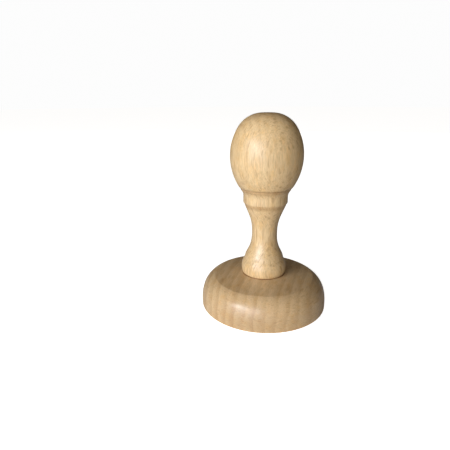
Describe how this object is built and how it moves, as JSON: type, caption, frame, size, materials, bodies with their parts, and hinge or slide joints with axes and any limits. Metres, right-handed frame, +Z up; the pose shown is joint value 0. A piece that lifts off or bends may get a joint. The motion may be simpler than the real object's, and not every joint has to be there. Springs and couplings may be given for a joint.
{
  "type": "rubber stamp",
  "caption": "Turned wooden stamp mount: round domed base with a bare flat sole for a rubber die, and an egg-shaped knob handle screwed and glued upright on its centre.",
  "frame": {"origin": "middle of the sole, the flat underside of the base", "axes": "+Z up along the handle, from the sole to the knob's top; +X and +Y lie in the sole, and the base's wood grain runs within 15 degrees of Y"},
  "size_m": [0.06, 0.06, 0.0905],
  "materials": {
    "base_wood": "face-grain beech, clear satin lacquer, bare sanded sole",
    "handle_wood": "upright-grain beech with short flecks, clear satin lacquer",
    "plug_wood": "face-grain beech, bare and sanded",
    "set_glue": "set wood glue, dull",
    "screw_steel": "zinc plated, dull",
    "washer_steel": "zinc plated, dull"
  },
  "bodies": {
    "root": {"base_disc": "base_wood", "handle": "handle_wood", "sole_plug": "plug_wood", "plug_glue_ring": "set_glue", "foot_glue_film": "set_glue", "fixing_screw": "screw_steel", "washer": "washer_steel"}
  },
  "joints": []
}
